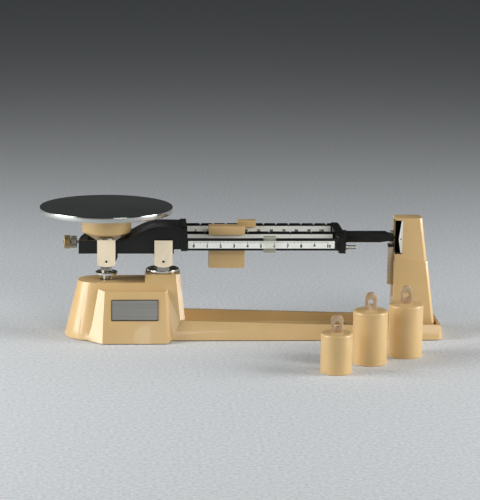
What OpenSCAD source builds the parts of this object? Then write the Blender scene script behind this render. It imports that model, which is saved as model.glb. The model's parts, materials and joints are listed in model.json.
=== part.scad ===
// Triple beam balance with its set of three attachment weights.
// Millimetres, +X from the pan towards the pointer, +Y to the back, +Z up.
// Pieces are drawn round the pan's axis and moved together to the middle of the whole set.

/* [Lever] */
// Distance from the pan's knife edge to the fulcrum's
lever_arm = 65; // [60:0.5:70]
// Rise of both knife edges above the seat of the fulcrum's yoke
edge_rise = 11; // [10:0.5:14]
// Height of the knife bars' triangular section
knife_h = 4.5; // [3.5:0.25:5]
// Running clearance of a pin in its hole
pin_gap = 0.05; // [0.02:0.01:0.1]
// Gap between pieces that move past each other
move_gap = 0.8; // [0.6:0.1:1.2]

/* [Base casting] */
// Height of the rubber feet below the casting
foot_proud = 1; // [1:0.25:3]
// Half the casting's width at its lower edge
base_half = 37.6; // [35:0.5:42]
// Lean of the casting's long walls, in degrees
side_draft = 14; // [12:0.5:15]
// Wall of the casting
wall = 3.2; // [2.5:0.1:4]
// Height of the pedestal's main top above the floor
pedestal_h = 65; // [60:0.5:70]
// Rise of the boss under the fulcrum
boss_rise = 9; // [7:0.5:12]
// Left face of the boss, short of the fulcrum's axis
boss_left = 19.5; // [19:0.5:24]
// Right face of the boss, past the fulcrum's axis
boss_right = 19.5; // [19:0.5:22]
// Centre of the rounded left end, left of the pan's axis
nose_back = 11; // [8:0.5:14]
// Height of the trough's rim beside the pedestal
rim_high = 22.8; // [21:0.2:26]
// Height of the trough's rim at the column
rim_low = 17.4; // [15:0.2:20]
// Height of the trough's floor
trough_floor = 8; // [7:0.5:10]
// Length of the casting past the column's right foot
foot_margin = 6.5; // [6:0.5:12]
// Radius of the casting's right corners
corner_r = 9; // [4:0.5:12]

/* [Front panel] */
// Height of the panel's upper edge
panel_h = 58.4; // [54:0.2:60]
// Width of the panel's sloping face
panel_w = 71; // [66:0.5:74]
// Reach of the panel's foot in front of the casting's wall
panel_out = 16; // [10:0.5:18]
// Width of the bare name plate
label_w = 53.5; // [40:0.5:56]
// Height of the bare name plate
label_h = 24.2; // [18:0.2:26]
// Thickness of the bare name plate
label_t = 0.8; // [0.5:0.1:1.5]

/* [Beam frame] */
// Half the width over the frame's cheeks
frame_half = 24.4; // [23.5:0.1:25]
// Thickness of the frame's cheeks
cheek = 3.4; // [3:0.1:4]
// Length of the frame left of the pan's knife
frame_tail = 31.5; // [29:0.5:36]
// Length of the frame right of the fulcrum's knife
frame_nose = 27; // [25:0.5:30]
// Frame's lower edge above the knife edges
frame_low = 8.6; // [8:0.2:9.6]
// Height of the frame's cheeks at the pan
cheek_h = 14.8; // [13:0.2:15.5]
// Rise of the arch above the cheeks at the pan
arch_rise = 16.2; // [14:0.2:18]

/* [Beams] */
// Visible length of the three beams
beam_l = 172.5; // [165:0.5:180]
// Height of a beam
bar_h = 14; // [12:0.2:15]
// Thickness of a beam
bar_t = 3; // [2.5:0.1:3.2]
// Distance from one beam to the next
bar_pitch = 24; // [23:0.2:24]
// Top of the front beam above the knife edges
front_rise = 26.4; // [25:0.2:27.4]
// Step from the front beam's top to the middle beam's
middle_step = 3.4; // [2.4:0.2:4]
// Step from the middle beam's top to the rear beam's
rear_step = 5.2; // [4:0.2:5.6]
// Depth of the notches in the middle and rear beams
notch_d = 2; // [1.5:0.1:2.5]
// Distance between the rear beam's eleven notches
rear_pitch = 14.7; // [13.5:0.1:14.8]
// Distance between the middle beam's six notches
middle_pitch = 24.6; // [22:0.1:25]
// First notch of the rear beam, from the beam's left end
rear_first = 16.9; // [16:0.1:18]
// First notch of the middle beam, from the beam's left end
middle_first = 21.6; // [21.4:0.1:23]
// Height of the white scales
scale_h = 8.5; // [7:0.1:9]
// Thickness of the white scales
scale_t = 0.6; // [0.4:0.1:0.8]

/* [Pointer] */
// Thickness of the casting that joins the beams' right ends
end_t = 8.5; // [7:0.5:10]
// Length of the pointer's arm up to its point
pointer_l = 62.5; // [58:0.5:66]
// Height of the pointer's arm
pointer_h = 12.8; // [12:0.2:15]
// Thickness of the pointer's arm
pointer_t = 4.4; // [3.5:0.1:5]
// Gap between the pointer and the index plate's point
index_gap = 1.2; // [0.8:0.1:2]
// Thickness of the damping vane
vane_t = 1.4; // [1:0.1:2]

/* [Column] */
// Width of the column's front at its foot
column_w = 49; // [44:0.5:52]
// Width of the column's top
column_top_w = 32.5; // [27:0.5:34]
// Depth of the column at its foot
column_d = 38; // [34:0.5:42]
// Depth of the column's top
column_top_d = 26; // [24:0.5:30]
// Height of the column's top above the pointer's line
column_over = 24.6; // [22:0.2:28]
// Height of the seam below the pointer's line
seam_under = 25; // [23:0.5:28]
// Wall of the column
column_wall = 2.4; // [2:0.1:3]
// Width of the pointer's window in the column's front
window_w = 9.2; // [7.5:0.1:10]
// Height of the pointer's window
window_h = 39; // [34:0.5:40]

/* [Pan and its support] */
// Diameter of the pan
pan_d = 152.4; // [140:0.2:160]
// Height of the pan's rim
rim_h = 6.4; // [5:0.2:8]
// Thickness of the pan's sheet
pan_t = 1.2; // [0.8:0.1:1.6]
// Diameter of the hub under the pan
hub_d = 57; // [50:0.5:62]
// Diameter of the hub's lower end
hub_low_d = 29; // [26:0.5:32]
// Height of the hub's conical part
cone_h = 10; // [8:0.5:12]
// Height of the hub's straight band
band_h = 27.4; // [24:0.2:30]
// Width of the cream cover plates
cover_w = 20.6; // [18:0.2:22]
// Height of the pan's cover plates
cover_h = 31.2; // [28:0.2:33]
// Thickness of the cover plates
cover_t = 0.8; // [0.6:0.1:1.2]
// Thickness of the yokes' uprights
yoke_t = 2; // [1.6:0.1:2.4]
// Diameter of the stem below the pan's yoke
stem_d = 8.6; // [7:0.1:10]
// Diameter of the collar on the stem
collar_d = 25.5; // [20:0.5:28]

/* [Check link] */
// Distance of the check link's pins below the knife edges
link_drop = 59; // [54:0.5:62]
// Radius of the check link's pins
link_pin_r = 2; // [1.5:0.1:2.5]

/* [Fulcrum] */
// Diameter of the chrome dish on the boss
dish_d = 37; // [34:0.5:38]
// Height of the chrome dish's rim
dish_h = 4; // [3:0.2:4.6]
// Diameter of the fulcrum's post above the boss
post_d = 13.6; // [11:0.2:14.4]

/* [Poises] */
// Width of the middle poise
middle_w = 41.3; // [38:0.1:43]
// Depth of the middle poise
middle_d = 18; // [16:0.2:20]
// Height of the middle poise's upper block
middle_top_h = 9.6; // [9:0.2:12]
// Height of the middle poise's lower block
middle_low_h = 24; // [20:0.5:26]
// Width of the rear poise
rear_w = 21.2; // [18:0.1:24]
// Depth of the rear poise's cap
rear_d = 12; // [11:0.2:13]
// Height of the rear poise's cap
rear_cap_h = 7.6; // [5.6:0.2:8]
// Height of the rear poise's block behind its beam
rear_block_h = 27; // [20:0.5:30]
// Width of the front rider
rider_w = 14.2; // [12:0.2:16]
// Gap between a poise and its beam
poise_gap = 0.35; // [0.3:0.05:0.5]
// Reading of the front rider, in grams
front_reading = 5.65; // [0:0.05:10]

/* [Zero adjuster] */
// Diameter of the zero adjuster's knob
knob_d = 15.4; // [12:0.2:16]
// Length of the brass knob
knob_l = 7; // [5:0.5:9]
// Length of the silver lock nut
locknut_l = 6.6; // [5:0.2:8]
// Diameter of the zero adjuster's stud
stud_d = 4; // [3:0.1:5]
// Height of the stud above the knife edges
stud_rise = 17.6; // [15:0.2:18]

/* [Attachment weights] */
// Diameter of the small weight
small_d = 34.6; // [30:0.2:38]
// Height of the small weight
small_h = 44; // [36:0.5:46]
// Diameter of the large weights
large_d = 38.4; // [34:0.2:42]
// Height of the large weights
large_h = 59.5; // [50:0.5:64]
// Width of the weights' tongues
tongue_w = 13; // [11:0.2:15]
// Height of the weights' tongues
tongue_h = 20; // [16:0.5:22]
// Thickness of the weights' tongues
tongue_t = 2.4; // [1.8:0.1:3]
// Diameter of the hole in a tongue
tongue_hole_d = 5.8; // [5:0.1:6.5]
// Drop of the hole's centre below the tongue's top
tongue_hole_drop = 10.6; // [7:0.2:12]

/* [Hidden] */

$fn = 96;
beige = [0.80, 0.66, 0.46];
cream = [0.93, 0.87, 0.76];
black = [0.13, 0.13, 0.12];
steel = [0.72, 0.72, 0.70];
white = [0.92, 0.92, 0.89];
brass = [0.78, 0.62, 0.36];
copper = [0.62, 0.52, 0.42];
rubber = [0.08, 0.08, 0.08];
seam = 0.02;

// Heights, from the floor up
floor_z = foot_proud;
boss_z = pedestal_h + boss_rise;
bridge_t = 4;
post_rise = 6;
bridge_z = boss_z + post_rise;
pivot_z = bridge_z + edge_rise;
frame_z = pivot_z + frame_low;
cheek_z = frame_z + cheek_h;
arch_z = cheek_z + arch_rise;
front_top = pivot_z + front_rise;
middle_top = front_top + middle_step;
rear_top = middle_top + rear_step;
pointer_z = pivot_z + 23;
link_z = pivot_z - link_drop;
stud_z = pivot_z + stud_rise;

// Stations along the beam
frame_end = lever_arm + frame_nose;
collar_x = frame_end - 7;
end_x = frame_end + beam_l;
arm_x = end_x + end_t;
pointer_x = arm_x + pointer_l;
column_x = pointer_x - 3.6;
index_x = pointer_x + index_gap;
foot_x = column_x + column_w + foot_margin;
pedestal_x = lever_arm + boss_right;

// Levels across the beam
cheek_in = frame_half - cheek;
yoke_in = frame_half + move_gap;
yoke_out = yoke_in + yoke_t;
cover_out = yoke_out + cover_t;
collar_half = bar_pitch + bar_t / 2 + 1.8;

// Pan's support, from its lower end up
yoke_top_z = cheek_z + move_gap;
yoke_top_t = 2.6;
yoke_low_t = 4;
yoke_low_z = pivot_z - 6.5;
yoke_half = 6.8;
neck_r = 6;
hub_z = pivot_z + 21;
hub_top = hub_z + cone_h + band_h;
hub_gap = 1.6;
pan_top = hub_top + pan_t;
stem_low = link_z - 6;
collar_t = 3;
collar_z = pedestal_h + 6.5;
stem_hole_r = stem_d / 2 + 3.8;

// Places of the weights on the floor, each given by its own axis
small_at = [248.8, -177.3];
left_at = [290, -137.6];
right_at = [333.7, -105];

// Middle of the whole set
low_x = -pan_d / 2;
low_y = small_at[1] - small_d / 2;
home = [-(low_x + foot_x) / 2, -(low_y + pan_d / 2) / 2, 0];

// Half the casting's width at a height
function half_at(z) = base_half - (z - floor_z) * tan(side_draft);
// Right face of the pedestal at a height
function pedestal_right(z) = pedestal_x + (boss_z - z) * 0.11;
// Right face of the column at a height
function column_right(z) = column_x + column_w
    - (column_w - column_top_w) * (z - trough_floor) / (cap_z - trough_floor);
cap_z = pointer_z + column_over;
column_bevel = 3;
seam_step = 0.9;
seam_z = pointer_z - seam_under;

module along_y(y0, y1) {
    translate([0, y1, 0]) rotate([90, 0, 0]) linear_extrude(y1 - y0) children();
}
module along_x(x0, x1) {
    translate([x0, 0, 0]) rotate([90, 0, 90]) linear_extrude(x1 - x0) children();
}
module along_z(z0, z1) {
    translate([0, 0, z0]) linear_extrude(z1 - z0) children();
}
module rod_x(r, x0, x1) {
    translate([x0, 0, 0]) rotate([0, 90, 0]) cylinder(h = x1 - x0, r = r);
}
module rod_y(r, y0, y1) {
    translate([0, y1, 0]) rotate([90, 0, 0]) cylinder(h = y1 - y0, r = r);
}
module rod_z(r, z0, z1) {
    translate([0, 0, z0]) cylinder(h = z1 - z0, r = r);
}
module block(x0, x1, y0, y1, z0, z1) {
    translate([x0, y0, z0]) cube([x1 - x0, y1 - y0, z1 - z0]);
}
// A piece and its mirror image in the plane y = 0
module both_sides() {
    children();
    mirror([0, 1, 0]) children();
}
// Rectangle with rounded corners, made of true arcs
module round_rect(x0, x1, y0, y1, r) {
    translate([x0 + r, y0]) square([x1 - x0 - 2 * r, y1 - y0]);
    translate([x0, y0 + r]) square([x1 - x0, y1 - y0 - 2 * r]);
    for (x = [x0 + r, x1 - r], y = [y0 + r, y1 - r]) translate([x, y]) circle(r);
}

// The casting's long tapered body, set in by a wall, from its round nose to x1
module tapered_body(inset, z0, z1, x1) {
    translate([-nose_back, 0, z0])
        cylinder(h = z1 - z0, r1 = half_at(z0) - inset, r2 = half_at(z1) - inset);
    along_x(-nose_back, x1) polygon([
        [-half_at(z0) + inset, z0], [half_at(z0) - inset, z0],
        [half_at(z1) - inset, z1], [-half_at(z1) + inset, z1]]);
}
// Side view of the casting: pedestal, boss, falling rim and foot
module casting_side() {
    rim_end = end_x + 15;
    polygon([
        [low_x, floor_z], [foot_x, floor_z], [foot_x - 2, rim_low], [rim_end, rim_low],
        [pedestal_right(rim_high), rim_high], [pedestal_right(boss_z), boss_z],
        [lever_arm - boss_left, boss_z], [lever_arm - boss_left - 1.6, pedestal_h],
        [low_x, pedestal_h]]);
}
// The sloping front panel: a face in two planes with a bevelled flank at each end
module panel_block() {
    xc = panel_x;
    hl = panel_w / 2;
    foot_y = -(half_at(floor_z) + panel_out);
    wall_y = -half_at(panel_h);
    polyhedron(points = [
        [xc - hl - 1.5, foot_y, floor_z], [xc + hl + 1.5, foot_y, floor_z],
        [xc - hl - 0.6, crease_y, crease_z], [xc + hl + 0.6, crease_y, crease_z],
        [xc - hl + 1.2, face_top_y, face_top_z], [xc + hl - 1.2, face_top_y, face_top_z],
        [xc - hl - 8.3, wall_y + 2, panel_h], [xc + hl + 4.7, wall_y + 6, panel_h],
        [xc - hl - 37.5, wall_y + 6, floor_z], [xc + hl + 12, wall_y + 6, floor_z]],
        faces = [
            [0, 2, 3, 1], [2, 4, 5, 3], [4, 6, 7], [4, 7, 5], [6, 8, 9], [6, 9, 7], [8, 0, 1, 9],
            [8, 6, 2], [6, 4, 2], [8, 2, 0], [9, 3, 7], [7, 3, 5], [9, 1, 3]]);
}
// The hollow under the pedestal, boss and panel
module pedestal_hollow() {
    intersection() {
        tapered_body(wall, floor_z - 1, boss_z - 4, pedestal_x + 20);
        along_y(-base_half, base_half) polygon([
            [low_x, floor_z - 1], [pedestal_right(floor_z) - wall, floor_z - 1],
            [pedestal_right(boss_z) - wall, boss_z], [lever_arm - boss_left + wall, boss_z],
            [lever_arm - boss_left + wall, pedestal_h - 4], [low_x, pedestal_h - 4]]);
    }
    along_x(panel_x - hollow_half, panel_x + hollow_half) polygon([
        [-20, floor_z - 1], [-hollow_y, floor_z - 1],
        [-half_at(24) - 6, 24], [-half_at(48) + wall, 48], [-20, 48]]);
}
corner_bevel = 4.2;
panel_x = lever_arm / 2;
crease_z = 24.5;
crease_y = -(half_at(crease_z) + 10.6);
face_top_z = panel_h - 2;
face_top_y = -(half_at(panel_h) + 7.5);
hollow_half = panel_w / 2 - 4;
hollow_y = base_half + panel_out - wall - 1;
nose_x = -nose_back - base_half;
foot_xs = [nose_x + 34.6, foot_x - 18];
foot_r = 6;
foot_y = base_half - 12.5;
pocket_d = 3;
cover_screw_xs = [nose_x + 50.6, pedestal_x - 2.5];
cover_screw_y = base_half - 11.6;
cover_screw_r = 1.45;
cover_post_r = 3.6;
cover_head_t = 0.7;
cover_screw_l = 9;
cover_plate_t = 1.2;
cover_top = floor_z + cover_plate_t;
cover_post_top = 16;
column_screw_xs = [column_x + 12, column_x + 35];
column_screw_r = 2;
module base_casting() {
    color(beige) translate(home) difference() {
        union() {
            intersection() {
                tapered_body(0, floor_z, boss_z, foot_x);
                along_y(-base_half, base_half) casting_side();
                along_z(0, boss_z) round_rect(low_x, foot_x, -base_half, base_half, corner_r);
            }
            panel_block();
        }
        difference() {
            pedestal_hollow();
            // Corner posts for the feet and the cover's screws
            for (y = [-foot_y, foot_y]) translate([foot_xs[0], y, 0]) rod_z(foot_r + 2, 0, 14);
            for (x = cover_screw_xs, y = [-cover_screw_y, cover_screw_y])
                translate([x, y, 0]) rod_z(cover_post_r, cover_top, cover_post_top);
            for (x = cover_screw_xs) both_sides()
                block(x - 1.5, x + 1.5, cover_screw_y, base_half, cover_top, cover_post_top);
        }
        // Right corner of the pedestal, above the rim, bevelled
        both_sides() translate([pedestal_right(rim_high), -half_at(rim_high), rim_high + 1.4])
            rotate([0, 0, -45]) rotate([0, -side_draft, 0])
                translate([-corner_bevel, -30, 0]) cube([30, 60, 80]);
        // Trough of the bar
        along_y(-half_at(rim_high) + wall, half_at(rim_high) - wall) polygon([
            [pedestal_right(trough_floor), trough_floor], [foot_x - wall - 2, trough_floor],
            [foot_x - wall - 2, boss_z], [pedestal_right(boss_z) + 0.01, boss_z + 1],
            [pedestal_right(boss_z), boss_z]]);
        // Shallow recess under the bar
        block(pedestal_right(floor_z) + 4, foot_x - 30, -base_half + 8, base_half - 8,
            floor_z - 1, floor_z + 2.6);
        // Stem's hole, post's hole and foot pockets
        rod_z(stem_hole_r, pedestal_h - 6, pedestal_h + 1);
        translate([lever_arm, 0, 0]) rod_z(4 + pin_gap, boss_z - 6, boss_z + 1);
        for (x = foot_xs, y = [-foot_y, foot_y])
            translate([x, y, 0]) rod_z(foot_r + pin_gap, 0, floor_z + pocket_d);
        for (x = cover_screw_xs, y = [-cover_screw_y, cover_screw_y])
            translate([x, y, 0]) rod_z(cover_screw_r + pin_gap, 0, floor_z + cover_screw_l + 2);
        for (x = column_screw_xs) translate([x, 0, 0]) {
            rod_z(column_screw_r + 0.2, 0, trough_floor + 1);
            rod_z(4.2, 0, floor_z + 3);
        }
    }
}
module rubber_feet() {
    color(rubber) translate(home) for (x = foot_xs, y = [-foot_y, foot_y]) translate([x, y, 0]) {
        cylinder(h = floor_z, r1 = foot_r - 1, r2 = foot_r);
        rod_z(foot_r, floor_z - seam, floor_z + pocket_d);
    }
}

// Sheet that closes the pedestal's hollow, inside its lower edge
module bottom_cover() {
    color(black) translate(home) difference() {
        union() {
            intersection() {
                tapered_body(wall + 0.6, floor_z, cover_top, pedestal_right(floor_z) - wall - 1);
                block(low_x, pedestal_x + 20, -base_half, base_half, floor_z, cover_top);
            }
            // Tab under the panel's hollow
            block(panel_x - hollow_half + 0.6, panel_x + hollow_half - 0.6, -hollow_y + 1.8, -base_half / 2,
                floor_z, cover_top);
        }
        for (y = [-foot_y, foot_y]) translate([foot_xs[0], y, 0]) rod_z(foot_r + 2.6, 0, cover_top + 1);
        for (x = cover_screw_xs, y = [-cover_screw_y, cover_screw_y])
            translate([x, y, 0]) rod_z(cover_screw_r + 0.2, 0, cover_top + 1);
    }
}
module cover_screws() {
    color(steel) translate(home) for (x = cover_screw_xs, y = [-cover_screw_y, cover_screw_y])
        translate([x, y, 0]) difference() {
            union() {
                rod_z(cover_post_r, floor_z - cover_head_t, floor_z);
                rod_z(cover_screw_r, floor_z - seam, floor_z + cover_screw_l);
            }
            block(-cover_post_r, cover_post_r, -0.4, 0.4, floor_z - 1, floor_z - cover_head_t / 2);
        }
}
// Bare plate on the panel's upper face
module label_plate() {
    lean = atan2(face_top_y - crease_y, face_top_z - crease_z);
    color(steel) translate(home) translate([panel_x, crease_y, crease_z]) rotate([-lean, 0, 0])
        translate([-label_w / 2, -label_t, 0.6]) cube([label_w, label_t, label_h]);
}

// The column as three crossed outlines: front, side and plan
module column_form(z0, z1, inset) {
    hd = column_d / 2 - inset;
    ht = column_top_d / 2 - inset;
    z_foot = trough_floor;
    x0 = column_x + inset;
    intersection() {
        along_y(-column_d, column_d) polygon([
            [x0, z0], [column_right(z0) - inset, z0], [column_right(z1) - inset, z1], [x0, z1]]);
        along_x(column_x - 1, column_x + column_w + 1) polygon([
            [-hd, z_foot], [hd, z_foot], [ht, cap_z], [-ht, cap_z]]);
        along_z(z0, z1) polygon([[x0, -hd], [x0 + column_w, -hd], [x0 + column_w, hd], [x0, hd]]);
        column_corner(inset);
        mirror([0, 1, 0]) column_corner(inset);
    }
}
// Everything left of the bevel that runs down the column's front right corner
module column_corner(inset) {
    x0 = column_right(trough_floor) - inset;
    x1 = column_right(cap_z) - inset;
    y0 = -column_d / 2 + inset;
    y1 = -column_top_d / 2 + inset;
    b = column_bevel;
    h = cap_z - trough_floor;
    far_x = -2 * column_w;
    far_y = 2 * column_d;
    translate([x0 - b, y0, trough_floor]) multmatrix([
        [1, 0, (x1 - x0) / h, 0], [0, 1, (y1 - y0) / h, 0], [0, 0, 1, 0]])
        along_z(-1, h + 1) polygon([[far_x, 0], [0, 0], [b, b], [b, far_y], [far_x, far_y]]);
}
module column_lower() {
    color(beige) translate(home) difference() {
        column_form(trough_floor, seam_z, 0);
        column_form(trough_floor + 4, seam_z + 1, column_wall);
        for (x = column_screw_xs) translate([x, 0, 0]) rod_z(1.6, trough_floor - 1, trough_floor + 5);
        vane_slot();
    }
}
module column_screws() {
    color(steel) translate(home) for (x = column_screw_xs) translate([x, 0, 0]) {
        rod_z(3.8, floor_z + 0.6, floor_z + 3);
        rod_z(1.55, floor_z + 3 - seam, trough_floor + 3.6);
    }
}
window_low = pointer_z - window_h / 2 + 2.6;
module column_cap() {
    step = seam_step;
    color(beige) translate(home) difference() {
        column_form(seam_z, cap_z, step);
        column_form(seam_z - 1, cap_z - column_wall, column_wall + step);
        // Window for the pointer: open to the left and to the front
        block(column_x - 1, column_x + window_w, -column_d, column_top_d / 2 - 5,
            window_low, window_low + window_h);
        vane_slot();
    }
}
// White index plate set in the window's right edge, its point facing the pointer
module index_plate() {
    y0 = -column_top_d / 2 + seam_step;
    x1 = column_x + window_w;
    color(white) translate(home) along_y(y0, y0 + 0.8) polygon([
        [index_x, pointer_z], [x1 - 1.4, window_low + window_h - 0.6], [x1, window_low + window_h - 0.6],
        [x1, window_low + 0.6], [x1 - 2.2, window_low + 0.6]]);
}
// Damper: a vane under the pointer's arm runs in a slot of the column's left wall,
// between two magnets in a steel holder inside the column
clamp_x = column_x - 6.2;
clamp_w = 7;
clamp_z1 = pointer_z - 7.4;
clamp_h = 3.4;
vane_l = 48;
vane_low = clamp_z1 - vane_l;
vane_w = 5.6;
vane_in = 15;
slot_half = 4;
magnet_gap = 2.6;
slot_low = vane_low - 14;
magnet_x = column_x + 5;
magnet_z = vane_low + 12;
magnet_w = 9;
magnet_h = 20;
magnet_t = 3;
module magnets(grow) {
    for (s = [0, 1]) mirror([0, s, 0])
        block(magnet_x - grow, magnet_x + magnet_w, magnet_gap, magnet_gap + magnet_t,
            magnet_z - grow, magnet_z + magnet_h + grow);
}
module magnet_holder() {
    y = magnet_gap + magnet_t + 1.6;
    z0 = magnet_z - 2;
    z1 = magnet_z + magnet_h + 2;
    color(steel) translate(home) {
        difference() {
            block(magnet_x - 1, magnet_x + magnet_w + 5, -y, y, z0, z1);
            block(magnet_x - 2, magnet_x + magnet_w + 3, -magnet_gap, magnet_gap, z0 - 1, z1 + 1);
            magnets(0);
        }
        intersection() {
            block(magnet_x + 2, magnet_x + magnet_w, y - seam, column_d, z0 + 4, z1 - 4);
            column_form(trough_floor, cap_z, column_wall);
        }
    }
}
module damper_magnets() {
    color(black) translate(home) magnets(0);
}
// Slot for the vane, from the window down
module vane_slot() {
    block(column_x - 1, column_x + column_wall + 2, -slot_half, slot_half, slot_low, window_low + 1);
}

// Fulcrum, fixed to the boss
module fulcrum_dish() {
    r = dish_d / 2;
    color(steel) translate(home) translate([lever_arm, 0, boss_z]) rotate_extrude() polygon([
        [post_d / 2 + 0.1, 0], [r - 1.6, 0], [r, 1.2], [r, dish_h], [r - 1, dish_h],
        [r - 2.2, dish_h - 1.2], [r - 5, 1.6], [r - 8, 1], [post_d / 2 + 0.1, 1]]);
}
module fulcrum_post() {
    color(steel) translate(home) translate([lever_arm, 0, 0]) difference() {
        union() {
            rod_z(post_d / 2, boss_z, bridge_z);
            rod_z(4, boss_z - 12, boss_z + seam);
        }
        rod_z(1.6, bridge_z - 4, bridge_z + 1);
    }
}
bracket_top = boss_z - 4;
bracket_t = 2.4;
nut_t = 4.6;
module post_nut() {
    color(steel) translate(home) translate([lever_arm, 0, bracket_top - bracket_t - nut_t]) difference() {
        cylinder(h = nut_t, r = 7.5, $fn = 6);
        rod_z(4, -1, nut_t + 1);
    }
}
// Bracket under the boss that carries the check link's fixed pin
bracket_in = 8;
bracket_half = 9;
link_eye_r = 5;
module check_bracket() {
    color(steel) translate(home) translate([lever_arm, 0, 0]) difference() {
        union() {
            block(-bracket_half, bracket_half, -bracket_in - bracket_t, bracket_in + bracket_t,
                bracket_top - bracket_t, bracket_top);
            for (s = [-1, 1]) translate([0, s * (bracket_in + bracket_t / 2), 0]) bracket_leg();
        }
        rod_z(4, bracket_top - bracket_t - 1, bracket_top + 1);
        translate([0, 0, link_z]) rod_y(link_pin_r, -20, 20);
    }
}
module bracket_leg() {
    along_y(-bracket_t / 2, bracket_t / 2) {
        polygon([[-bracket_half, bracket_top], [bracket_half, bracket_top],
            [link_eye_r, link_z], [-link_eye_r, link_z]]);
        translate([0, link_z]) circle(link_eye_r);
    }
}
module base_link_pin() {
    color(steel) translate(home) translate([lever_arm, 0, link_z]) {
        rod_y(link_pin_r, -bracket_in - bracket_t - 1, bracket_in + bracket_t + 1);
        rod_y(3.4, -bracket_in - bracket_t - 2, -bracket_in - bracket_t);
    }
}
// Check link between the base's pin and the stem's pin
link_t = 3;
fork_half = 7.2;
fork_t = 2.6;
module check_link() {
    far = 20;
    color(steel) translate(home) translate([0, 0, link_z]) difference() {
        along_y(-fork_half, fork_half) {
            circle(link_eye_r);
            translate([0, -3]) square([lever_arm, 6]);
            translate([lever_arm, 0]) circle(link_eye_r);
        }
        // Fork round the stem, thin bar, and hub between the bracket's legs
        block(-far, 6.4, -fork_half + fork_t, fork_half - fork_t, -far, far);
        both_sides() {
            block(12, lever_arm - 6, link_t / 2, far, -far, far);
            block(lever_arm - 6.1, lever_arm + far, bracket_in - 0.3, far, -far, far);
        }
        rod_y(link_pin_r + pin_gap, -far, far);
        translate([lever_arm, 0, 0]) rod_y(link_pin_r + pin_gap, -far, far);
    }
}

agate_w = 6;
agate_h = 6;
cover_pin_r = 0.9;
cover_over = 0.6;
fulcrum_cover_rise = 24.5;
// Triangle of a knife with its edge at the origin, pointing down
module knife_outline() {
    polygon([[0, 0], [knife_h * 0.55, knife_h], [-knife_h * 0.55, knife_h]]);
}
module vee_outline() {
    polygon([[0, -0.03], [agate_w, agate_w * 0.9], [-agate_w, agate_w * 0.9]]);
}
// Agate bearing with a V groove, its edge line at the origin
module agate(up) {
    along_y(yoke_in, yoke_out) mirror([0, up ? 0 : 1]) difference() {
        translate([-agate_w / 2, -agate_h + 2]) square([agate_w, agate_h]);
        vee_outline();
    }
}
module fulcrum_yoke() {
    color(steel) translate(home) translate([lever_arm, 0, 0]) {
        difference() {
            union() {
                block(-yoke_half, yoke_half, -yoke_out, yoke_out, bridge_z, bridge_z + bridge_t);
                both_sides() block(-yoke_half, yoke_half, yoke_in, yoke_out, bridge_z, pivot_z + 9);
            }
            rod_z(1.6, bridge_z - 1, bridge_z + bridge_t + 1);
            both_sides() block(-agate_w / 2, agate_w / 2, yoke_in - 1, yoke_out + 1,
                pivot_z - agate_h + 2, pivot_z + knife_h + 2);
        }
    }
}
module fulcrum_agates() {
    color(cream) translate(home) translate([lever_arm, 0, pivot_z]) both_sides() agate(true);
}
// Cream plate with a rounded lower end, outside a yoke's upright
module cover_plate(z0, z1) {
    r = cover_w;
    difference() {
        along_y(yoke_out, cover_out) intersection() {
            translate([-cover_w / 2, z0]) square([cover_w, z1 - z0]);
            translate([0, z0 + r]) union() {
                circle(r);
                translate([-r, 0]) square([2 * r, z1 - z0]);
            }
        }
        translate([0, 0, pivot_z]) rod_y(cover_pin_r, 0, cover_out + 1);
    }
}
module fulcrum_covers() {
    color(cream) translate(home) translate([lever_arm, 0, 0]) both_sides()
        cover_plate(bridge_z + bridge_t, pivot_z + fulcrum_cover_rise);
}
module fulcrum_cover_pins() {
    color(black) translate(home) translate([lever_arm, 0, pivot_z]) both_sides()
        rod_y(cover_pin_r, yoke_out, cover_out + 0.3);
}

// Beam frame: two cheeks, a top skin over the arch, a tail wall and a ribbed collar
module frame_outline() {
    polygon([
        [-frame_tail, frame_z], [frame_end - 15, frame_z], [frame_end - 15, frame_z + 5],
        [frame_end, frame_z + 5], [frame_end, arch_z - 0.6], [lever_arm + 12, arch_z - 0.2],
        for (i = [0 : 12]) arch_point(1 - i / 12),
        [-frame_tail + 2, cheek_z], [-frame_tail, cheek_z - 2]]);
}
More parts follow.
